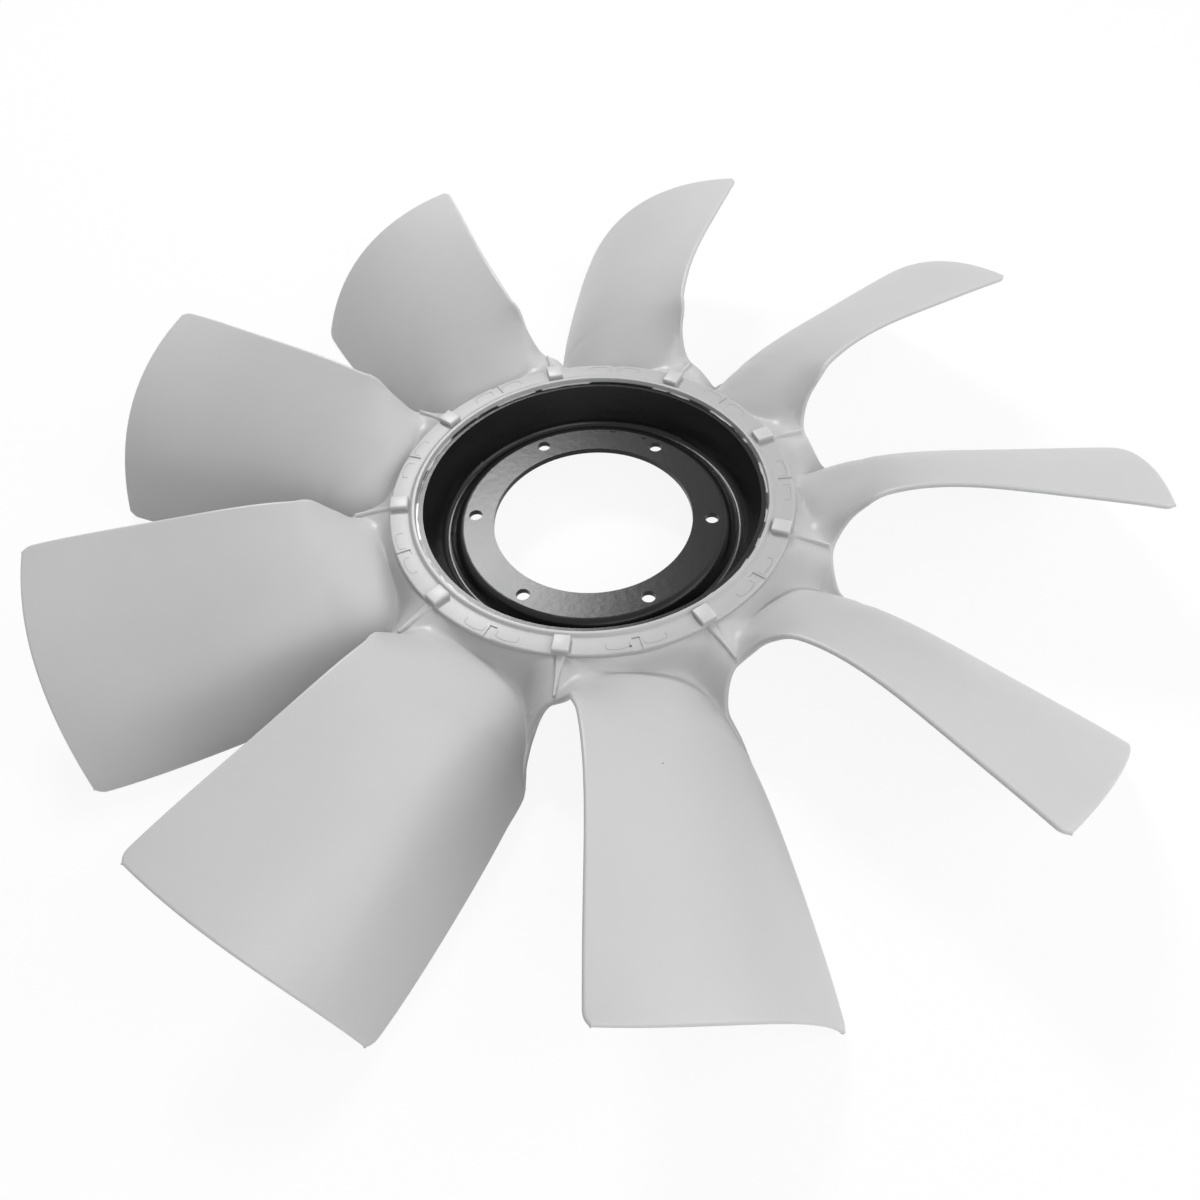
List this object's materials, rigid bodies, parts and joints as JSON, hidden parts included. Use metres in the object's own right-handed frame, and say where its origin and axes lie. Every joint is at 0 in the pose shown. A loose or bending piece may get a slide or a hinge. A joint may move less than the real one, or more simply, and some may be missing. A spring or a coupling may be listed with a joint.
{
  "type": "axial fan impeller",
  "caption": "Axial fan impeller with broad twisted blades, moulded in pale plastic round a dished black steel disc that has a central pilot bore and a circle of bolt holes.",
  "frame": {"origin": "on the fan's axis, in the front face of the bolt flange", "axes": "+Z along the fan's axis out of the dished front face; +X through a rib in the middle of a gap between two blades"},
  "size_m": [0.6997, 0.7044, 0.0958],
  "materials": {
    "pale_plastic": "satin, moulded",
    "black_steel": "semi-gloss dip coat"
  },
  "bodies": {
    "root": {"fan_moulding": "pale_plastic", "steel_insert": "black_steel"}
  },
  "joints": []
}
